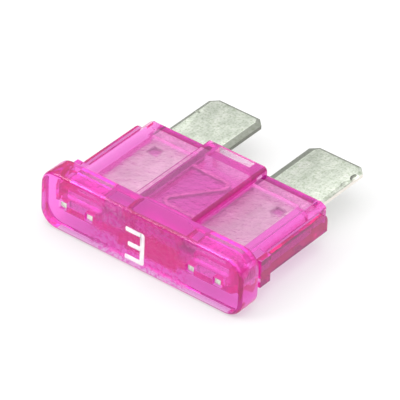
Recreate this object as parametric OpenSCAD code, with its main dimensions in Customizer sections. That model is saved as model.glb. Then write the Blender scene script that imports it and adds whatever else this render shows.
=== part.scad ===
// Regular blade fuse: a clear tinted housing, one stamped metal element and a printed rating digit.
// Sizes are in millimetres. X runs along the head, Y from the head to the blade tips, Z through the
// thickness. The sub-parts are drawn from the head's outer face and the mid-plane, and set_down()
// moves them so that the origin lies at the bottom centre of the whole part.

/* [Overall] */
// Length from the head's outer face to the blade tips
overall_l = 18.5; // [17:0.1:20]

/* [Head] */
// Width of the head along X
head_w = 19.1; // [19:0.1:22]
// Thickness of the head along Z
head_t = 5.1; // [4.4:0.1:6]
// Depth of the head along Y
head_d = 2.2; // [1.8:0.1:2.6]
// Radius of the head's four corners, seen from the front
head_corner_r = 1.5; // [0.9:0.1:2]
// Radius of the rim around the head's outer face
head_rim_r = 0.35; // [0.2:0.05:0.6]
// Radius of the rim around the head's inner face
head_back_r = 0.2; // [0.1:0.05:0.4]

/* [Body] */
// End of the body, measured from the head's outer face
body_end = 11.8; // [11.5:0.1:13]
// Thickness of the flat body along Z
body_t = 2.7; // [2.4:0.1:3]
// Thickness of each wide wall above and below a blade
panel_wall = 0.5; // [0.45:0.05:0.7]
// Width of the rib between each blade's pocket and the inner side of its slot
rib_inner = 0.35; // [0.2:0.05:0.6]
// Thickness of plastic beside a blade
side_wall = 1; // [0.7:0.05:1.2]
// Length of the lip between each blade's pocket and the body's end
lip_l = 1.45; // [1:0.05:1.6]
// Length of the flare at the mouth of each blade's slot
mouth_l = 0.4; // [0.2:0.05:0.6]
// How far that flare opens above and below the slot
mouth_rise = 0.25; // [0.1:0.05:0.4]
// Width of the bevel along the body's long edges
body_bevel_w = 0.6; // [0.3:0.05:0.8]
// Depth of that bevel
body_bevel_t = 0.45; // [0.2:0.05:0.6]
// Radius of the body's far edges
body_end_r = 0.3; // [0.1:0.05:0.4]

/* [Side step] */
// How far the side step stands out from the body's bevelled sides
step_proud = 0.45; // [0.3:0.05:0.8]
// Thickness of the side step
step_t = 1.8; // [1.2:0.1:2]
// How far the side step stops short of the body's end
step_short = 0.35; // [0.1:0.05:0.5]
// Radius of the upper corner at the side step's far end
step_end_r = 0.9; // [0.3:0.1:1]
// Width of the groove between the head and the lugs
groove_w = 0.65; // [0.5:0.05:1.2]
// Length of each lug along Y
lug_l = 1.2; // [0.8:0.1:1.8]
// How far each lug stands out from the side step
lug_proud = 0.3; // [0.1:0.05:0.5]
// How far each lug stays below the body's wide face
lug_low = 0.15; // [0:0.05:0.4]

/* [Section over the link] */
// Width of the raised centre section
centre_w = 5.7; // [5:0.1:6.2]
// How far the centre section stands above the body's wide face
centre_proud = 0.55; // [0.3:0.05:0.65]
// Radius of the centre section's long edges
centre_edge_r = 0.4; // [0.2:0.05:0.5]
// Free height above and below the link
link_gap = 0.3; // [0.2:0.05:0.5]
// Width of the chamber around the link
chamber_w = 4.2; // [3.8:0.1:4.4]
// Start of that chamber, from the head's outer face
chamber_start = 3.7; // [3.4:0.1:3.8]
// Thickness of the wall between that chamber and the body's end
chamber_wall = 1; // [0.9:0.1:1.1]
// Width of the recess in the centre section's far end
recess_w = 3.3; // [2.6:0.1:4]
// Depth of that recess
recess_d = 0.65; // [0.3:0.05:0.7]
// Thickness of the walls above and below that recess
recess_wall = 0.45; // [0.4:0.05:0.8]
// Start of the blades' slots and pockets, from the head's outer face
slot_start = 2.9; // [2.7:0.1:3.1]

/* [Blades] */
// Width of each blade
blade_w = 5.1; // [4.9:0.05:5.3]
// Thickness of the blades
blade_t = 0.6; // [0.5:0.05:0.7]
// Distance between the blades' centre lines
blade_pitch = 9.7; // [9.6:0.05:10]
// Length of the chamfer on each tip corner
tip_chamfer = 0.6; // [0.3:0.1:1]
// How much each blade steps out at the shoulder near the body's end
shoulder_w = 0.45; // [0.3:0.05:0.6]
// Width of the coined bevel along the blade edges
coin_w = 0.45; // [0.2:0.05:0.6]
// Depth of the coined bevel
coin_t = 0.14; // [0.05:0.01:0.2]

/* [Test points] */
// Width of each test point
ear_w = 0.65; // [0.5:0.05:0.8]
// Distance between the two test points of a blade
ear_pitch = 2.5; // [2.3:0.05:2.7]
// Distance from the blade's centre line to the middle of its inner test point
ear_offset = -0.05; // [-0.2:0.05:0.2]
// How far the test points lie behind the head's outer face
ear_recess = 0.15; // [0.05:0.05:0.3]
// Length of each test point
ear_l = 0.9; // [0.7:0.05:1.1]
// Extra width and height of the openings around the test points
ear_window = 0.15; // [0.1:0.05:0.4]
// Length of the taller rear part of the pocket behind the test points
land_room_l = 0.8; // [0.4:0.1:1]
// Height of that taller part
land_room_t = 1.5; // [1:0.1:1.8]

/* [Fusible link] */
// Width of the link
link_w = 0.42; // [0.3:0.02:0.6]
// Thickness of the link
link_t = 0.25; // [0.15:0.05:0.4]
// Where the link leaves the first blade, from the head's outer face
link_far = 9.4; // [8.8:0.1:9.8]
// Where the link reaches the second blade, from the head's outer face
link_near = 4.3; // [4.2:0.1:4.8]
// Radius of the link's two bends, at its centre line
link_bend_r = 0.6; // [0.5:0.05:0.7]
// Distance from the middle of the chamber to the centre of each bend
link_reach = 0.65; // [0.5:0.05:0.75]

/* [Pegs] */
// Distance from the blade's centre line outwards to the peg
peg_offset = 1.05; // [0.8:0.05:1.2]
// Place of the pegs, from the head's outer face
peg_y = 9.2; // [8.5:0.1:9.6]
// Side of the square peg that passes through the blade
peg_w = 0.9; // [0.6:0.05:1.1]

/* [Rating digit] */
// Width of the printed digit
digit_w = 1.8; // [1.4:0.05:2.6]
// Height of the printed digit
digit_h = 2.9; // [2:0.05:3.2]
// Width of the digit's strokes
digit_stroke = 0.4; // [0.25:0.01:0.5]
// How far the digit's middle bar stops short of the others
digit_short = 0.25; // [0:0.05:0.5]
// Thickness of the print
digit_t = 0.05; // [0.03:0.01:0.1]
// Distance from the head's middle to the digit's middle, along X
digit_x = -0.35; // [-1:0.05:1]
// Distance from the mid-plane to the digit's middle, along Z
digit_z = -0.4; // [-0.6:0.05:0.6]

/* [Fits] */
// Clearance around the metal inside the housing
fit = 0.05; // [0.02:0.01:0.1]

/* [Hidden] */
$fn = 48;
// Overlap that makes cuts and joined volumes clean
eps = 0.01;
// Half of the slot that holds the metal, across the blades and through the thickness
slot_half_w = blade_pitch / 2 + blade_w / 2 + fit;
slot_half_t = blade_t / 2 + fit;
// The body's wide face, and its sides at the foot of the bevel
body_half_t = body_t / 2;
body_half_w = slot_half_w + side_wall;
step_half_w = body_half_w + step_proud;
step_half_t = step_t / 2;
lug_half_w = step_half_w + lug_proud;
lug_half_t = body_half_t - lug_low;
lug_start = head_d + groove_w;
lug_end = lug_start + lug_l;
// The centre section and the chamber inside it
centre_half_t = body_half_t + centre_proud;
chamber_half_t = link_t / 2 + link_gap;
chamber_end = body_end - chamber_wall;
// The pocket around each blade
pocket_half_t = body_half_t - panel_wall;
pocket_end = body_end - lip_l;
slot_inner = blade_pitch / 2 - blade_w / 2 - fit;
pocket_outer = slot_half_w - shoulder_w;
// The land that carries a blade's two test points
ear_inner = blade_pitch / 2 + ear_offset;
ear_outer = ear_inner + ear_pitch;
land_start = ear_recess + ear_l;
window_half = (ear_w + ear_window) / 2;
peg_x = blade_pitch / 2 + peg_offset;
blade_inner = blade_pitch / 2 - blade_w / 2;
blade_outer = blade_pitch / 2 + blade_w / 2;

// Moves a piece from the drawing position to the part's own frame
module set_down() {
    translate([0, (digit_t - overall_l) / 2, head_t / 2]) children();
}

// A box given by its lowest and highest corners
module block(low, high) {
    translate(low) cube(high - low);
}

// Draws its children, and their mirror image across the YZ plane
module both_sides() {
    children();
    mirror([1, 0, 0]) children();
}

// Draws its children, and their mirror image across the mid-plane
module both_faces() {
    children();
    mirror([0, 0, 1]) children();
}

// Section through the head from its middle out to one edge, with both rims rounded
module rim_section(reach) {
    square([reach - head_rim_r, head_d]);
    translate([0, head_rim_r]) square([reach, head_d - head_rim_r - head_back_r]);
    translate([0, head_d / 2]) square([reach - head_back_r, head_d / 2]);
    translate([reach - head_rim_r, head_rim_r]) circle(head_rim_r);
    translate([reach - head_back_r, head_d - head_back_r]) circle(head_back_r);
}

// The head as a slab with round corners and rounded rims
module head() {
    side = head_w / 2 - head_corner_r;
    rise = head_t / 2 - head_corner_r;
    for (sx = [-1, 1], sz = [-1, 1])
        translate([sx * side, 0, sz * rise])
            rotate([-90, 0, 0])
                rotate_extrude() rim_section(head_corner_r);
    // A turned section runs along X, and one as drawn runs along Z
    both_faces() across_x(side) rotate(90) mirror([0, 1]) rim_section(head_t / 2);
    both_sides() linear_extrude(2 * rise, center = true) rim_section(head_w / 2);
}

// The body's long bevelled slab, seen along Y
module body_section() {
    shoulder = body_half_t - body_bevel_t;
    flat_half = body_half_w - body_bevel_w;
    polygon([
        [-flat_half, body_half_t], [flat_half, body_half_t],
        [body_half_w, shoulder], [body_half_w, -shoulder],
        [flat_half, -body_half_t], [-flat_half, -body_half_t],
        [-body_half_w, -shoulder], [-body_half_w, shoulder],
    ]);
}

// A plan or side profile that runs from inside the head to a far end with two round corners
module end_profile(reach, half, r) {
    start = head_d / 2;
    translate([start, -half]) square([reach - r - start, 2 * half]);
    translate([start, -half + r]) square([reach - start, 2 * (half - r)]);
    for (s = [-1, 1]) translate([reach - r, s * (half - r)]) circle(r);
}

// Turns a profile of Y and Z into a solid across X
module across_x(half_w) {
    rotate([90, 0, 90]) linear_extrude(2 * half_w, center = true) children();
}

// Turns a profile of X and Z into a solid along Y
module along_y(start, end) {
    translate([0, end, 0]) rotate([90, 0, 0]) linear_extrude(end - start) children();
}

module body_slab() {
    intersection() {
        along_y(head_d / 2, body_end) body_section();
        across_x(body_half_w + eps) end_profile(body_end, body_half_t, body_end_r);
    }
}

// The step along both sides of the body, with one round corner at its far end
module side_step() {
    far = body_end - step_short;
    across_x(step_half_w) {
        translate([lug_start, -step_half_t]) square([far - step_end_r - lug_start, step_t]);
        translate([lug_start, -step_half_t]) square([far - lug_start, step_t - step_end_r]);
        translate([far - step_end_r, step_half_t - step_end_r]) circle(step_end_r);
    }
}

module lugs() {
    both_sides()
        block([body_half_w - body_bevel_w, lug_start, -lug_half_t], [lug_half_w, lug_end, lug_half_t]);
}

// The raised section over the link, with its far edges and its long edges rounded
module centre_section() {
    round_w = centre_w / 2 - centre_edge_r;
    round_z = centre_half_t - centre_edge_r;
    intersection() {
        across_x(centre_w / 2) end_profile(body_end, centre_half_t, body_end_r);
        along_y(0, body_end + 1)
            union() {
                square([centre_w, 2 * round_z], center = true);
                square([2 * round_w, 2 * centre_half_t], center = true);
                for (sx = [-1, 1], sz = [-1, 1])
                    translate([sx * round_w, sz * round_z]) circle(centre_edge_r);
            }
    }
}

// The slot that holds a blade, flared at its mouth, and the pocket that frees the blade's faces
module blade_slot() {
    block([slot_inner, slot_start, -slot_half_t], [pocket_outer, body_end, slot_half_t]);
    block([slot_inner, pocket_end - eps, -slot_half_t], [slot_half_w, body_end + 1, slot_half_t]);
    translate([(slot_inner + slot_half_w) / 2, 0, 0])
        across_x((slot_half_w - slot_inner) / 2)
            polygon([
                [body_end - mouth_l, -slot_half_t], [body_end, -slot_half_t - mouth_rise],
                [body_end + 1, -slot_half_t - mouth_rise], [body_end + 1, slot_half_t + mouth_rise],
                [body_end, slot_half_t + mouth_rise], [body_end - mouth_l, slot_half_t],
            ]);
    block(
        [slot_inner + rib_inner, slot_start, -pocket_half_t],
        [pocket_outer, pocket_end, pocket_half_t]
    );
}

// The chamber around the link, its openings to both blades, and the recess in the far end
module link_chamber() {
    recess_half_t = centre_half_t - recess_wall;
    block([-recess_w / 2, body_end - recess_d, -recess_half_t], [recess_w / 2, body_end + 1, recess_half_t]);
    block([-chamber_w / 2, chamber_start, -chamber_half_t], [chamber_w / 2, chamber_end, chamber_half_t]);
    block([-slot_inner - eps, chamber_start, -slot_half_t], [slot_inner + eps, chamber_end, slot_half_t]);
}

// The openings through which the test points show, and the pocket behind them
module ear_pocket() {
    for (x = [ear_inner, ear_outer])
        block([x - window_half, -1, -window_half], [x + window_half, slot_start, window_half]);
    block(
        [ear_inner - window_half, land_start - fit, -slot_half_t],
        [ear_outer + window_half, slot_start + eps, slot_half_t]
    );
    block(
        [ear_inner - window_half, slot_start - land_room_l, -land_room_t / 2],
        [slot_half_w, slot_start + eps, land_room_t / 2]
    );
}

// The square hole in a blade, or the peg that passes through it
module peg(side, low, high) {
    block([peg_x - side / 2, peg_y - side / 2, low], [peg_x + side / 2, peg_y + side / 2, high]);
}

module housing() {
    color("mediumvioletred", 0.6)
    set_down() {
        difference() {
            union() {
                head();
                body_slab();
                side_step();
                lugs();
                centre_section();
            }
            link_chamber();
            both_sides() blade_slot();
            both_sides() ear_pocket();
        }
        // Pegs that hold the metal: each stands on the lower wall and ends halfway through its blade
        both_sides() peg(peg_w, -pocket_half_t - eps, 0);
    }
}

// Outline of one blade with its land and two test points
module blade_outline() {
    land_inner = ear_inner - ear_w / 2;
    land_outer = ear_outer + ear_w / 2;
    for (x = [ear_inner, ear_outer])
        translate([x - ear_w / 2, ear_recess]) square([ear_w, ear_l + eps]);
    translate([land_inner, land_start])
        square([land_outer - land_inner, slot_start - fit - land_start]);
    // Neck from the land into the blade
    translate([land_inner, land_start])
        square([blade_outer - shoulder_w - land_inner, slot_start + 2 * fit - land_start]);
    polygon([
        [blade_inner, slot_start + fit], [blade_outer - shoulder_w, slot_start + fit],
        [blade_outer - shoulder_w, pocket_end + fit], [blade_outer, pocket_end + fit],
        [blade_outer, overall_l - tip_chamfer], [blade_outer - tip_chamfer, overall_l],
        [blade_inner + tip_chamfer, overall_l], [blade_inner, overall_l - tip_chamfer],
    ]);
}

// Section across the exposed blade, with its four long edges coined
module blade_section() {
    half_w = blade_w / 2;
    half_t = blade_t / 2;
    translate([blade_pitch / 2, 0])
        polygon([
            [-half_w, -half_t + coin_t], [-half_w + coin_w, -half_t],
            [half_w - coin_w, -half_t], [half_w, -half_t + coin_t],
            [half_w, half_t - coin_t], [half_w - coin_w, half_t],
            [-half_w + coin_w, half_t], [-half_w, half_t - coin_t],
        ]);
}

// One blade: square edges inside the housing, coined edges where it shows
module blade() {
    difference() {
        union() {
            intersection() {
                linear_extrude(blade_t, center = true) blade_outline();
                block([0, 0, -blade_t], [head_w, body_end - step_short, blade_t]);
            }
            intersection() {
                linear_extrude(blade_t, center = true) blade_outline();
                along_y(body_end - step_short - eps, overall_l + 1) blade_section();
            }
        }
        peg(peg_w + 2 * fit, -blade_t, blade_t);
    }
}

// One straight run of the link between two points
module link_run(from, to) {
    run = to - from;
    translate(from)
        rotate(atan2(run.y, run.x))
            translate([0, -link_w / 2]) square([norm(run), link_w]);
}

// The link as an S: two level leads, two bends and a slanted run that touches both bends
module link_outline() {
    bend = [link_reach, link_far - link_bend_r];
    other = [-link_reach, link_near + link_bend_r];
    span = other - bend;
    reach = norm(span);
    // Direction of the slanted run, which touches both bends on opposite sides
    lean = atan2(span.y, span.x) - asin(2 * link_bend_r / reach);
    side = [-sin(lean), cos(lean)] * link_bend_r;
    lead = blade_inner + fit;
    link_run([-lead, link_far], [bend.x, link_far]);
    link_run(bend + side, other - side);
    link_run([other.x, link_near], [lead, link_near]);
    link_bend(bend, lean + 90, 90);
    link_bend(other, lean + 270, 270);
}

// One bend of the link, the long way round from one direction of its centre line to the other
module link_bend(centre, from, to) {
    inner = link_bend_r - link_w / 2;
    outer = link_bend_r + link_w / 2;
    // Sweep of the bend, turned so that it lies between 0 and 360 degrees
    sweep = (to - from + 720) % 360;
    wedge = [for (k = [0:6]) [cos(from + sweep * k / 6), sin(from + sweep * k / 6)] * 2 * outer];
    translate(centre)
        intersection() {
            difference() {
                circle(outer);
                circle(inner);
            }
            polygon(concat([[0, 0]], wedge));
        }
}

module fuse_element() {
    color("silver")
    set_down() {
        both_sides() blade();
        linear_extrude(link_t, center = true) link_outline();
    }
}

// The digit as three bars joined by a post, with its outer corners cut
module digit_outline() {
    half_w = digit_w / 2;
    half_h = digit_h / 2;
    cut = digit_stroke;
    difference() {
        union() {
            for (z = [-half_h, half_h - digit_stroke])
                translate([-half_w, z]) square([digit_w, digit_stroke]);
            translate([digit_short - half_w, -digit_stroke / 2])
                square([digit_w - digit_short, digit_stroke]);
            translate([half_w - digit_stroke, -half_h]) square([digit_stroke, digit_h]);
        }
        for (s = [-1, 1])
            translate([half_w, s * half_h]) rotate(45) square(cut, center = true);
    }
}

module rating_digit() {
    color("white")
    set_down()
        translate([digit_x, 0, digit_z])
            rotate([90, 0, 0]) linear_extrude(digit_t) digit_outline();
}

housing();
fuse_element();
rating_digit();
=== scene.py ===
import math

import bpy
from mathutils import Matrix, Vector


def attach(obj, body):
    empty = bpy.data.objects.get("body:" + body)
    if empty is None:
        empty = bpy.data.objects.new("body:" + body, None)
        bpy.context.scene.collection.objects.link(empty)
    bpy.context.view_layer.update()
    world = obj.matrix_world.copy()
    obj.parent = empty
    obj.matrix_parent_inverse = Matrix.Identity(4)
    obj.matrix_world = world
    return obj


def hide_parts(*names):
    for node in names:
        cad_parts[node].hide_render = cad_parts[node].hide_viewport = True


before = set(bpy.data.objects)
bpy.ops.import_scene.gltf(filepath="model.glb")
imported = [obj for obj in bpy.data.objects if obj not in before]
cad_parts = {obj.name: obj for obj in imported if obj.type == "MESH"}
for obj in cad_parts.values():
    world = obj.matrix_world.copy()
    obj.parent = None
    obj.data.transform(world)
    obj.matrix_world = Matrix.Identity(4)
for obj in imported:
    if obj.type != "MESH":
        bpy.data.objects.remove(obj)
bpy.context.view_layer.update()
bpy.ops.object.select_all(action="DESELECT")

# ---- Viewpoint
# The fuse lies flat and is seen from its head's right corner, 36 degrees above the table,
# through a long lens. The camera is fitted to straight edges and corners of the photo.
view_right = Vector((0.78592, 0.61726, 0.03634))
view_up = Vector((-0.38497, 0.44249, 0.80994))
view_back = view_right.cross(view_up)
camera_place = Matrix.Translation((0.16165, -0.21922, 0.19809))
lens = bpy.data.cameras.new("long_lens")
lens.lens = 400.7
lens.sensor_width = 36.0
camera = bpy.data.objects.new("long_lens", lens)
camera.matrix_world = camera_place @ Matrix((view_right, view_up, view_back)).transposed().to_4x4()
bpy.context.scene.collection.objects.link(camera)
bpy.context.scene.camera = camera


# ---- Studio
# White paper that glows a little, so that the plastic is lit from below too, under a large soft
# ceiling light in a room that darkens towards the floor. One lamp in front on the left draws
# the bright line along the head's upper rim.
def new_material(name):
    """A material and its shader."""
    material = bpy.data.materials.new(name)
    material.use_nodes = True
    return material, material.node_tree.nodes["Principled BSDF"]


bpy.ops.mesh.primitive_plane_add(size=2.0, location=(0, 0, 0))
table_top = bpy.context.object
table_top.name = "table_top"
white_paper, paper = new_material("white_paper")
paper.inputs["Base Color"].default_value = (0.47, 0.47, 0.47, 1)
paper.inputs["Roughness"].default_value = 0.9
paper.inputs["Emission Color"].default_value = (1, 1, 1, 1)
paper.inputs["Emission Strength"].default_value = 0.42
table_top.data.materials.append(white_paper)

room = bpy.data.worlds.new("bright_room")
room.use_nodes = True
bpy.context.scene.world = room
sky = room.node_tree
where = sky.nodes.new("ShaderNodeTexCoord")
axes = sky.nodes.new("ShaderNodeSeparateXYZ")
rise = sky.nodes.new("ShaderNodeValToRGB")
room_shades = rise.color_ramp.elements
for height, shade in ((0.2, 0.25), (0.45, 0.36), (0.7, 0.42)):
    room_shades.new(height).color = (shade, shade, shade, 1)
room_shades[0].color = (0.2, 0.2, 0.2, 1)
room_shades[-1].color = (1, 1, 1, 1)
sky.links.new(where.outputs["Generated"], axes.inputs[0])
sky.links.new(axes.outputs["Z"], rise.inputs[0])
sky.links.new(rise.outputs[0], sky.nodes["Background"].inputs["Color"])
sky.nodes["Background"].inputs["Strength"].default_value = 2.35
bpy.context.scene.view_settings.view_transform = "Standard"
bpy.context.scene.cycles.max_bounces = 40
bpy.context.scene.cycles.transmission_bounces = 40
bpy.context.scene.cycles.glossy_bounces = 12

lamp = bpy.data.lights.new("front_lamp", "AREA")
lamp.shape = "RECTANGLE"
lamp.size, lamp.size_y = 0.4, 0.25
lamp.energy = 1.5
front_lamp = bpy.data.objects.new("front_lamp", lamp)
front_lamp.location = (-0.35, -0.42, 0.45)
front_lamp.rotation_euler = (-front_lamp.location).to_track_quat("-Z", "Y").to_euler()
bpy.context.scene.collection.objects.link(front_lamp)


# ---- Housing
# Clear magenta polycarbonate, injection-moulded in one piece: a head, a flat body with a raised
# section over the link, stepped sides, and pockets for the metal that are open at the far end.
# Pieces are drawn in millimetres from the head's outer face and the mid-plane, then set down.
def box_piece(name, low, high):
    """A box between two corners, with its place in its mesh."""
    low, high = Vector(low), Vector(high)
    bpy.ops.mesh.primitive_cube_add(size=1.0, location=(low + high) / 2)
    piece = bpy.context.object
    piece.name = name
    piece.scale = high - low
    bpy.ops.object.transform_apply(location=True, rotation=False, scale=True)
    return piece


def middle_corners(half_w, start, end, half_t):
    """The corners of a box that is centred across the width and the thickness."""
    return (-half_w, start, -half_t), (half_w, end, half_t)


def side_corners(side, low_x, high_x, start, end, low_z, high_z):
    """The corners of a box on the left or the right, between two distances from the middle."""
    left, right = sorted((side * low_x, side * high_x))
    return (left, start, low_z), (right, end, high_z)


def side_box(name, *extent):
    """A box on the left or the right."""
    return box_piece(name, *side_corners(*extent))


def pick_edges(piece, wanted):
    """Opens the piece for editing with only the edges selected whose ends suit wanted(a, b)."""
    bpy.context.view_layer.objects.active = piece
    bpy.ops.object.mode_set(mode="EDIT")
    bpy.ops.mesh.select_mode(type="EDGE")
    bpy.ops.mesh.select_all(action="DESELECT")
    bpy.ops.object.mode_set(mode="OBJECT")
    corners = piece.data.vertices
    for edge in piece.data.edges:
        edge.select = bool(wanted(*(corners[i].co for i in edge.vertices)))
    bpy.ops.object.mode_set(mode="EDIT")


def round_edges(piece, wanted, radius, steps):
    """Rounds the wanted edges, or cuts them flat where steps is 1."""
    pick_edges(piece, wanted)
    bpy.ops.mesh.bevel(offset=radius, segments=steps, affect="EDGES")
    bpy.ops.object.mode_set(mode="OBJECT")


def resize_picked(value):
    """Resizes what is selected from the origin and ends the editing."""
    bpy.ops.transform.resize(value=value, center_override=(0, 0, 0))
    bpy.ops.object.mode_set(mode="OBJECT")


def combine(piece, tool, how):
    """Joins the tool to the piece, or cuts it out, and deletes the tool."""
    change = piece.modifiers.new("combine", "BOOLEAN")
    change.operation, change.solver, change.object = how, "EXACT", tool
    bpy.context.view_layer.objects.active = piece
    bpy.ops.object.modifier_apply(modifier="combine")
    bpy.data.objects.remove(tool)


def finish_edges(piece, width):
    """Breaks every sharp edge a little, as moulded and stamped edges are."""
    change = piece.modifiers.new("broken_edges", "BEVEL")
    change.width, change.segments, change.limit_method = width, 2, "ANGLE"
    change.angle_limit = math.radians(30)
    bpy.context.view_layer.objects.active = piece
    bpy.ops.object.modifier_apply(modifier="broken_edges")


def set_down(piece):
    """Brings a piece from the millimetre drawing to its place in the part."""
    bpy.ops.object.select_all(action="DESELECT")
    piece.select_set(True)
    bpy.context.view_layer.objects.active = piece
    piece.scale = (0.001, 0.001, 0.001)
    piece.location = (0, -0.009225, 0.00255)
    bpy.ops.object.transform_apply(location=True, rotation=False, scale=True)
    bpy.ops.object.shade_smooth_by_angle(angle=math.radians(32))
    piece.select_set(False)


def lengthwise(a, b):
    """The edges of a fresh box that run from the head to the far end."""
    return abs(a.y - b.y) > 1


def far_rim(a, b):
    """The two far edges of a box that run across its wide faces."""
    return min(a.y, b.y) > 11.7 and abs(a.x - b.x) > 4


head_half_w, head_half_t, head_d = 9.55, 2.55, 2.2
body_half_w, body_half_t = 8.45, 1.35
body_start, body_end = 1.1, 11.8
flat_half_w = 7.85
body_bevel = 0.45
raised_half_w, raised_half_t = 2.85, 1.9
step_half_w, step_half_t = 8.9, 0.9
step_start, step_end = 2.85, 11.45
lug_inner, lug_outer = 7.9, 9.2
lug_l, lug_half_t = 1.2, 1.2

housing = box_piece("housing_shell", *middle_corners(head_half_w, 0, head_d, head_half_t))
round_edges(housing, lengthwise, 1.5, 10)
round_edges(housing, lambda a, b: max(a.y, b.y) < 0.01, 0.35, 6)
round_edges(housing, lambda a, b: min(a.y, b.y) > head_d - 0.01, 0.2, 4)

body = box_piece("body", *middle_corners(body_half_w, body_start, body_end, body_half_t))
round_edges(body, lengthwise, body_bevel, 1)
pick_edges(body, lambda a, b: min(abs(a.z), abs(b.z)) > body_half_t - 0.01)
resize_picked((flat_half_w / (body_half_w - body_bevel), 1, 1))
round_edges(body, far_rim, 0.3, 4)
combine(housing, body, "UNION")
raised = box_piece(
    "raised_section", *middle_corners(raised_half_w, body_start, body_end, raised_half_t)
)
round_edges(raised, lengthwise, 0.4, 5)
round_edges(raised, far_rim, 0.25, 4)
combine(housing, raised, "UNION")
side_step = box_piece("side_step", *middle_corners(step_half_w, step_start, step_end, step_half_t))
round_edges(side_step, lambda a, b: min(a.y, b.y) > 11 and min(a.z, b.z) > 0, 0.9, 8)
combine(housing, side_step, "UNION")
for side in (-1, 1):
    lug_end = step_start + lug_l
    lug = side_box("lug", side, lug_inner, lug_outer, step_start, lug_end, -lug_half_t, lug_half_t)
    combine(housing, lug, "UNION")

slot_half_t = 0.35
slot_inner, slot_outer = 2.25, 7.45
mouth_start, mouth_half_t = 11.4, 0.85
chamber_half_w, chamber_half_t = 2.1, 0.45
chamber_start, chamber_end = 3.7, 10.8
recess_half_w, recess_half_t = 1.65, 1.45
recess_start = 11.15
pocket_inner, pocket_outer = 2.6, 7.0
pocket_start, pocket_end = 2.9, 10.35
pocket_half_t = 0.85
land_room_inner, land_room_outer = 4.35, 7.75
past_end = 13

# The cavities in the middle: a chamber round the link, the way from it into the blades' slots,
# and a recess in the raised section's far end
cavities = [
    middle_corners(chamber_half_w, chamber_start, chamber_end, chamber_half_t),
    middle_corners(slot_inner + 0.15, chamber_start, chamber_end, slot_half_t),
    middle_corners(recess_half_w, recess_start, past_end, recess_half_t),
]
# The cavities on each side: a slot for the blade that widens at its shoulder, a pocket over it,
# the room for the land that joins the test points, and a higher room where that ends
for side in (-1, 1):
    for low_x, high_x, start, end, half_t in (
        (slot_inner, pocket_outer, pocket_start, 11, slot_half_t),
        (slot_inner, slot_outer, pocket_end, past_end, slot_half_t),
        (pocket_inner, pocket_outer, pocket_start, pocket_end, pocket_half_t),
        (land_room_inner, land_room_outer, 1, 3, slot_half_t),
        (land_room_inner, land_room_outer - 0.15, 2.1, 3, 0.75),
    ):
        cavities.append(side_corners(side, low_x, high_x, start, end, -half_t, half_t))
for low, high in cavities:
    combine(housing, box_piece("cavity", low, high), "DIFFERENCE")

# The slots' flared mouths, the pegs that hold the metal, and the test openings
for side in (-1, 1):
    mouth = side_box(
        "mouth", side, slot_inner, slot_outer, mouth_start, 12.2, -mouth_half_t, mouth_half_t
    )
    pick_edges(mouth, lambda a, b: max(a.y, b.y) < mouth_start + 0.01 and abs(a.x - b.x) > 1)
    resize_picked((1, 1, slot_half_t / mouth_half_t))
    combine(housing, mouth, "DIFFERENCE")
peg_x, peg_y = 5.9, 9.2
peg_half_w = 0.45
peg_xs, peg_ys = (peg_x - peg_half_w, peg_x + peg_half_w), (peg_y - peg_half_w, peg_y + peg_half_w)
peg_foot = -pocket_half_t - 0.01
point_xs = (4.8, 7.3)
opening_half_w = 0.375
for side in (-1, 1):
    combine(housing, side_box("peg", side, *peg_xs, *peg_ys, peg_foot, 0), "UNION")
    cavities.append(side_corners(side, *peg_xs, *peg_ys, peg_foot, 0.01))
    for x in point_xs:
        near_x, far_x = x - opening_half_w, x + opening_half_w
        opening = side_box("test_opening", side, near_x, far_x, -1, 3, -slot_half_t, slot_half_t)
        combine(housing, opening, "DIFFERENCE")
finish_edges(housing, 0.09)

# What the faces carry: grain where the eroded steel cores leave the inner faces and pegs dull, a
# painted dark shade on slanted faces and on the stepped sides, darkest on the sides' outer faces,
# and a painted deeper shade on the head's lower and far faces
grain = housing.data.attributes.new("grain", "FLOAT", "FACE")
edge = housing.data.attributes.new("edge", "FLOAT", "FACE")
lower_face_shade = housing.data.attributes.new("lower_face_shade", "FLOAT", "FACE")
for i, face in enumerate(housing.data.polygons):
    c, n = face.center, face.normal
    grain.data[i].value = c.y < 11.7 and any(
        all(a - 0.02 < v < b + 0.02 for a, v, b in zip(low, c, high)) for low, high in cavities
    )
    beside_body = 2.4 < c.y < 11.4
    along_body = abs(n.y) < 0.1
    slanted = max(abs(v) for v in n) < 0.98
    wide_bevel = 7.8 < abs(c.x) < 8.5 and beside_body and along_body
    head_corner = c.y < 2 and along_body
    front_rim = c.y < 0.4 and n.z > 0.2
    back_rim = c.y > 11.4 and n.z > 0.1 and n.y > 0.1 and abs(c.z) > 1
    on_step = abs(c.x) > 8.3 and beside_body and (abs(n.x) > 0.9 or n.z > 0.9 and c.z < 1)
    # Painted deeper shade on the head's lower face and its far face
    lower_face_shade.data[i].value = c.y < 2.3 and (n.z < -0.9 or n.y > 0.9)
    # Painted dark shade: full on the stepped sides' outer faces, less on the step tops, full on
    # slanted faces
    if on_step:
        edge.data[i].value = 1.0 if abs(n.x) > 0.9 else 0.4
    elif slanted and not (wide_bevel or head_corner or front_rim or back_rim):
        edge.data[i].value = 1.0
set_down(housing)


def feed(tree, socket, given):
    """Sets a socket to a number or a colour, or links it to a value from a node."""
    if isinstance(given, bpy.types.NodeSocket):
        tree.links.new(given, socket)
    else:
        socket.default_value = given


def noise(tree, scale, detail, stretch=(1, 1, 1)):
    """Noise in the piece's own place, stretched along an axis."""
    place = tree.nodes.new("ShaderNodeTexCoord")
    turn = tree.nodes.new("ShaderNodeMapping")
    turn.inputs["Scale"].default_value = stretch
    grains = tree.nodes.new("ShaderNodeTexNoise")
    grains.inputs["Scale"].default_value = scale
    grains.inputs["Detail"].default_value = detail
    grains.inputs["Roughness"].default_value = 0.6
    tree.links.new(place.outputs["Object"], turn.inputs["Vector"])
    tree.links.new(turn.outputs[0], grains.inputs["Vector"])
    return grains.outputs["Fac"]


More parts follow.
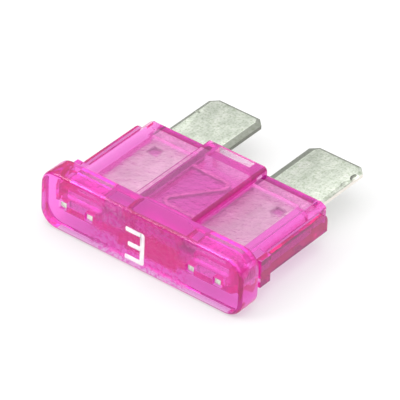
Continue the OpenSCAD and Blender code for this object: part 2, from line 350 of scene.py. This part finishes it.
def shades(tree, value, stops):
    """A value turned into a colour by stops of place and colour."""
    ramp = tree.nodes.new("ShaderNodeValToRGB")
    for place, colour in stops[1:-1]:
        ramp.color_ramp.elements.new(place).color = (*colour, 1)
    for stop, (place, colour) in ((0, stops[0]), (-1, stops[-1])):
        ramp.color_ramp.elements[stop].position = place
        ramp.color_ramp.elements[stop].color = (*colour, 1)
    tree.links.new(value, ramp.inputs[0])
    return ramp.outputs["Color"]


def blend(tree, share, first, second, how="MIX"):
    """Two colours mixed by a share."""
    mix = tree.nodes.new("ShaderNodeMix")
    mix.data_type = "RGBA"
    mix.blend_type = how
    for socket, given in zip((0, 6, 7), (share, first, second)):
        feed(tree, mix.inputs[socket], given)
    return mix.outputs[2]


def attribute(tree, name):
    """A value that the mesh carries from face to face."""
    reader = tree.nodes.new("ShaderNodeAttribute")
    reader.attribute_name = name
    return reader.outputs["Fac"]


def remap(tree, value, start, end, low=0.0, high=1.0):
    """A value carried from one range to another and kept inside it."""
    scaler = tree.nodes.new("ShaderNodeMapRange")
    for socket, given in zip(("From Min", "From Max", "To Min", "To Max"), (start, end, low, high)):
        scaler.inputs[socket].default_value = given
    tree.links.new(value, scaler.inputs["Value"])
    return scaler.outputs[0]


def calculate(tree, how, one, two):
    """One step of arithmetic with two values."""
    sum_up = tree.nodes.new("ShaderNodeMath")
    sum_up.operation = how
    for socket, given in zip(sum_up.inputs, (one, two)):
        feed(tree, socket, given)
    return sum_up.outputs[0]


def bump(tree, height, strength, distance, shader):
    """Fine relief on the shader's surface."""
    relief = tree.nodes.new("ShaderNodeBump")
    relief.inputs["Distance"].default_value = distance
    feed(tree, relief.inputs["Strength"], strength)
    tree.links.new(height, relief.inputs["Height"])
    tree.links.new(relief.outputs[0], shader.inputs["Normal"])


clear_magenta, plastic = new_material("clear_magenta")
tree = clear_magenta.node_tree
plastic.inputs["IOR"].default_value = 1.58
plastic.inputs["Transmission Weight"].default_value = 1.0
# Painted light: the whole plastic glows faintly magenta, which lifts its darker parts
plastic.inputs["Emission Color"].default_value = (0.9, 0.03, 0.65, 1)
plastic.inputs["Emission Strength"].default_value = 0.05

# The head's outer face is mottled around the digit
spot = tree.nodes.new("ShaderNodeSeparateXYZ")
tree.links.new(tree.nodes.new("ShaderNodeTexCoord").outputs["Object"], spot.inputs[0])
middle = remap(tree, calculate(tree, "ABSOLUTE", spot.outputs["X"], 0), 0.0052, 0.004)
patch = calculate(tree, "MULTIPLY", middle, remap(tree, spot.outputs["Y"], -0.0089, -0.0091))
blotches = calculate(tree, "MULTIPLY", patch, remap(tree, noise(tree, 2600, 5), 0.47, 0.56))

dull = attribute(tree, "grain")
tint = blend(tree, dull, (1, 1, 1, 1), (0.92, 1, 0.9, 1))
# Painted deeper shade: the head's lower and far faces are tinted a deeper magenta
tint = blend(tree, attribute(tree, "lower_face_shade"), tint, (1, 0.35, 0.87, 1))
# Painted dark shade: slanted faces and stepped sides are tinted deep magenta as outlines
tint = blend(tree, attribute(tree, "edge"), tint, (0.4, 0.0, 0.2, 1))
tint = blend(tree, blotches, tint, (0.88, 0.12, 0.62, 1))
tree.links.new(tint, plastic.inputs["Base Color"])
tree.links.new(remap(tree, dull, 0, 1, 0.02, 0.26), plastic.inputs["Roughness"])
relief = calculate(tree, "MAXIMUM", remap(tree, dull, 0, 1, 0.04, 0.8), patch)
bump(tree, noise(tree, 1600, 5), relief, 0.0001, plastic)
dye = tree.nodes.new("ShaderNodeVolumeAbsorption")
dye.inputs["Color"].default_value = (0.98, 0.52, 0.905, 1)
dye.inputs["Density"].default_value = 1000.0
tree.links.new(dye.outputs[0], tree.nodes["Material Output"].inputs["Volume"])
housing.data.materials.clear()
housing.data.materials.append(clear_magenta)
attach(housing, "root")
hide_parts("housing")


# ---- Metal element
# Two blades with their test points and the S-shaped link that melts, stamped as one flat piece
# from bright zinc strip. The blades' edges are coined, each blade has a square hole for a peg of
# the housing, and the right one is nicked near its tip.
def pick_faces(piece, wanted):
    """Opens the piece for editing with only the faces selected that suit wanted(face)."""
    bpy.context.view_layer.objects.active = piece
    bpy.ops.object.mode_set(mode="EDIT")
    bpy.ops.mesh.select_mode(type="FACE")
    bpy.ops.mesh.select_all(action="DESELECT")
    bpy.ops.object.mode_set(mode="OBJECT")
    for face in piece.data.polygons:
        face.select = bool(wanted(face))
    bpy.ops.object.mode_set(mode="EDIT")


blade_inner, blade_outer = 2.3, 7.4
blade_half_t = 0.3
link_half_t = 0.125
link_w = 0.42
overlap = 0.05
bend_r = 0.6
bends = (Vector((0.65, 8.8, 0)), Vector((-0.65, 4.9, 0)))

# The link is swept from the left blade to the right one: lead, bend, slanted run, bend, lead
span = bends[1] - bends[0]
lean = math.atan2(span.y, span.x) - math.asin(2 * bend_r / span.length)
turn = -lean
tangent_side = Vector((-math.sin(lean), math.cos(lean), 0)) * bend_r
run = (bends[1] - tangent_side) - (bends[0] + tangent_side)
lead = bends[0].x + blade_inner + overlap
bpy.ops.mesh.primitive_plane_add(size=1.0, location=(0, 0, 0))
element = bpy.context.object
element.name = "stamped_element"
element.rotation_euler = (0, math.pi / 2, 0)
bpy.ops.object.transform_apply(location=False, rotation=True, scale=False)
element.scale = (1, link_w, 2 * link_half_t)
element.location = (-blade_inner - overlap, bends[0].y + bend_r, 0)
bpy.ops.object.transform_apply(location=True, rotation=False, scale=True)
bpy.ops.object.mode_set(mode="EDIT")
bpy.ops.mesh.select_mode(type="EDGE")
bpy.ops.mesh.select_all(action="SELECT")
bpy.ops.mesh.delete(type="ONLY_FACE")
bpy.ops.mesh.select_all(action="SELECT")
bpy.ops.mesh.extrude_region_move(TRANSFORM_OT_translate={"value": (lead, 0, 0)})
bpy.ops.mesh.spin(steps=10, angle=turn, center=bends[0], axis=(0, 0, 1))
bpy.ops.mesh.extrude_region_move(TRANSFORM_OT_translate={"value": run})
bpy.ops.mesh.spin(steps=10, angle=-turn, center=bends[1], axis=(0, 0, 1))
bpy.ops.mesh.extrude_region_move(TRANSFORM_OT_translate={"value": (lead, 0, 0)})
bpy.ops.mesh.edge_face_add()
bpy.ops.object.mode_set(mode="OBJECT")
pick_edges(element, lambda a, b: max(a.x, b.x) < -blade_inner - 0.04)
bpy.ops.mesh.edge_face_add()
bpy.ops.mesh.select_all(action="SELECT")
bpy.ops.mesh.normals_make_consistent(inside=False)
bpy.ops.object.mode_set(mode="OBJECT")
finish_edges(element, 0.05)

blade_start, blade_end = 2.95, 18.5
tip_chamfer = 0.6
coined_half_t = 0.16
coined_w = 0.3
inner_coined_more = 0.2
shoulder_x = blade_outer - 0.45
land_inner, land_outer = 4.475, 7.625
land_start, land_end = 1.05, 2.85
point_half_w = 0.325
point_start = 0.15
hole_half_w = 0.5
hole_xs = (peg_x - hole_half_w, peg_x + hole_half_w)
hole_ys = (peg_y - hole_half_w, peg_y + hole_half_w)


def inner_ridge(a, b):
    """The edges where the coined slope meets a wide face, on the side of the link."""
    return all(abs(end.z) > blade_half_t - 0.01 and abs(end.x) < blade_inner + 0.4 for end in (a, b))


for side in (-1, 1):
    blade = side_box(
        "blade", side, blade_inner, blade_outer, blade_start, blade_end, -coined_half_t, coined_half_t
    )
    round_edges(blade, lambda a, b: min(a.y, b.y) > 18 and abs(a.z - b.z) > 0.1, tip_chamfer, 1)
    pick_faces(blade, lambda face: abs(face.normal.z) > 0.9)
    bpy.ops.mesh.inset(thickness=coined_w, use_individual=True)
    resize_picked((1, 1, blade_half_t / coined_half_t))
    pick_edges(blade, inner_ridge)
    bpy.ops.transform.translate(value=(side * inner_coined_more, 0, 0))
    bpy.ops.object.mode_set(mode="OBJECT")
    shoulder = side_box("shoulder", side, shoulder_x, 9, 2, pocket_end + 0.05, -1, 1)
    combine(blade, shoulder, "DIFFERENCE")
    neck = side_box("neck", side, land_inner, shoulder_x, 2.5, 3.5, -blade_half_t, blade_half_t)
    combine(blade, neck, "UNION")
    land = side_box(
        "land", side, land_inner, land_outer, land_start, land_end, -blade_half_t, blade_half_t
    )
    combine(blade, land, "UNION")
    for x in point_xs:
        near_x, far_x = x - point_half_w, x + point_half_w
        point = side_box(
            "test_point", side, near_x, far_x, point_start, 1.2, -blade_half_t, blade_half_t
        )
        round_edges(point, lambda a, b: max(a.y, b.y) < point_start + 0.01, 0.06, 2)
        combine(blade, point, "UNION")
    combine(blade, side_box("peg_hole", side, *hole_xs, *hole_ys, -1, 1), "DIFFERENCE")
    combine(element, blade, "UNION")

# The nick in the right blade, the shallow wear below it, and a thin notch in the left blade
for centre, radii in (
    ((7.6, 16.97, 0.36), (0.62, 0.62, 0.3)),
    ((7.55, 15.8, 0.32), (0.55, 0.7, 0.14)),
    ((-7.5, 16.0, 0.34), (0.75, 0.16, 0.14)),
):
    bpy.ops.mesh.primitive_uv_sphere_add(segments=32, ring_count=20, radius=1.0, location=centre)
    scoop = bpy.context.object
    scoop.scale = radii
    bpy.ops.object.transform_apply(location=True, rotation=False, scale=True)
    combine(element, scoop, "DIFFERENCE")
finish_edges(element, 0.025)

# What the faces carry: painted shade on coined and sheared edges, in the nick, in the peg holes,
# below the shoulders, under the left blade and on the link's sides, and wear with a painted shine on
# the right blade's side and on the link's flats
painted_shade = element.data.attributes.new("painted_shade", "FLOAT", "FACE")
wear_and_shine = element.data.attributes.new("wear_and_shine", "FLOAT", "FACE")
for i, face in enumerate(element.data.polygons):
    c, n = face.center, face.normal
    in_nick = c.x > 6.85 and 15.0 < c.y < 17.7 and 0.02 < c.z < 0.295
    coined = 0.1 < n.z < 0.985 and c.y > 3 and abs(c.x) > blade_inner - 0.05
    below_shoulder = abs(n.x) > 0.9 and 6.8 < abs(c.x) < 7.0 and c.y < 10.5
    hole_wall = 5.3 < abs(c.x) < 6.5 and 8.6 < c.y < 9.8 and abs(n.z) < 0.5
    on_link = abs(c.x) < 2.25
    under_left = n.z < -0.1 and c.x < 0 and c.y > 11
    sheared = abs(n.z) < 0.2 and c.y > 3
    # Painted shade: the nick's wall, the peg holes, the faces below the shoulders and under the left
    # blade, the coined slopes and the link's sides are darkened
    amount = 0.0
    if in_nick and n.x > 0.2 and c.x < 7.2:
        amount = 0.75 if c.y > 16.4 else 0.4
    elif in_nick:
        amount = 0.2
    elif coined:
        amount = 0.1 if c.x > 6.9 else 0.65
    elif below_shoulder:
        amount = 0.9
    elif hole_wall:
        amount = 0.6
    elif on_link:
        amount = 0.0 if abs(n.z) > 0.98 else 0.7
    elif under_left:
        amount = 0.9
    elif sheared:
        amount = 0.85 if -2.4 < c.x < -2.2 and c.z < 0 else 0.1
    painted_shade.data[i].value = amount
    # The right blade's side is lightened as wear; the link's flats are lightened as a painted shine
    right_side = c.x > 7.3 and c.y > 11 and n.z < 0.99 and amount < 0.5
    wear_and_shine.data[i].value = 0.8 if right_side else float(on_link and amount == 0)
set_down(element)

bright_zinc, metal = new_material("bright_zinc")
tree = bright_zinc.node_tree
metal.inputs["Metallic"].default_value = 1.0
clouds = shades(tree, noise(tree, 1000, 6), (
    (0.32, (0.66, 0.71, 0.61)),
    (0.5, (0.77, 0.82, 0.72)),
    (0.6, (0.84, 0.88, 0.78)),
    (0.72, (0.94, 0.96, 0.9)),
))
streaks = shades(tree, noise(tree, 1, 4, (9000, 500, 9000)), (
    (0.3, (0.88, 0.88, 0.87)),
    (0.5, (1, 1, 1)),
    (0.7, (1.06, 1.06, 1.06)),
))
grains = shades(tree, noise(tree, 5200, 4), (
    (0.36, (0.76, 0.8, 0.72)),
    (0.5, (1, 1, 1)),
    (0.64, (1.08, 1.08, 1.08)),
))
tone = blend(tree, 0.8, clouds, streaks, "MULTIPLY")
tone = blend(tree, 1.0, tone, grains, "MULTIPLY")
# Painted shade: the shaded faces are mixed towards near-black
tone = blend(tree, attribute(tree, "painted_shade"), tone, (0.12, 0.12, 0.1, 1))
# Wear and painted shine: the marked faces are mixed towards a lighter, warmer metal
tone = blend(tree, attribute(tree, "wear_and_shine"), tone, (0.95, 0.88, 0.82, 1))
tree.links.new(tone, metal.inputs["Base Color"])
tree.links.new(remap(tree, noise(tree, 2500, 3), 0, 1, 0.3, 0.55), metal.inputs["Roughness"])
bump(tree, noise(tree, 1, 5, (7000, 900, 7000)), 0.5, 0.00002, metal)
element.data.materials.clear()
element.data.materials.append(bright_zinc)
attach(element, "root")
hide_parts("fuse_element")

# ---- Rating digit
# A plain 3 printed on the head's outer face in thick white ink, with soft rounded corners. It is
# a post on the right and three bars that end in it, the middle one shorter.
digit_left, digit_right = -1.25, 0.55
digit_bottom, digit_top = -1.85, 1.05
middle_bar_z = -0.6
stroke = 0.4
print_t = 0.05
digit = box_piece(
    "printed_digit", (digit_right - stroke, -print_t, digit_bottom), (digit_right, 0, digit_top)
)
round_edges(digit, lambda a, b: abs(a.y - b.y) > 0.01 and min(a.x, b.x) > digit_right - 0.02, 0.26, 8)
for low_z, start in (
    (digit_bottom, digit_left),
    (middle_bar_z, digit_left + 0.25),
    (digit_top - stroke, digit_left),
):
    bar = box_piece("bar", (start, -print_t, low_z), (digit_right - 0.3, 0, low_z + stroke))
    round_edges(bar, lambda a, b: abs(a.y - b.y) > 0.01 and max(a.x, b.x) < start + 0.01, 0.1, 3)
    combine(digit, bar, "UNION")
finish_edges(digit, 0.015)
set_down(digit)

white_ink, ink = new_material("white_ink")
tree = white_ink.node_tree
ink_shades = shades(tree, noise(tree, 1800, 4), (
    (0.35, (0.92, 0.74, 0.84)),
    (0.5, (0.92, 0.88, 0.9)),
    (0.7, (0.97, 0.96, 0.96)),
))
tree.links.new(ink_shades, ink.inputs["Base Color"])
tree.links.new(remap(tree, noise(tree, 4000, 3), 0, 1, 0.45, 0.75), ink.inputs["Roughness"])
bump(tree, noise(tree, 5000, 4), 0.4, 0.00001, ink)
digit.data.materials.clear()
digit.data.materials.append(white_ink)
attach(digit, "root")
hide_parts("rating_digit")
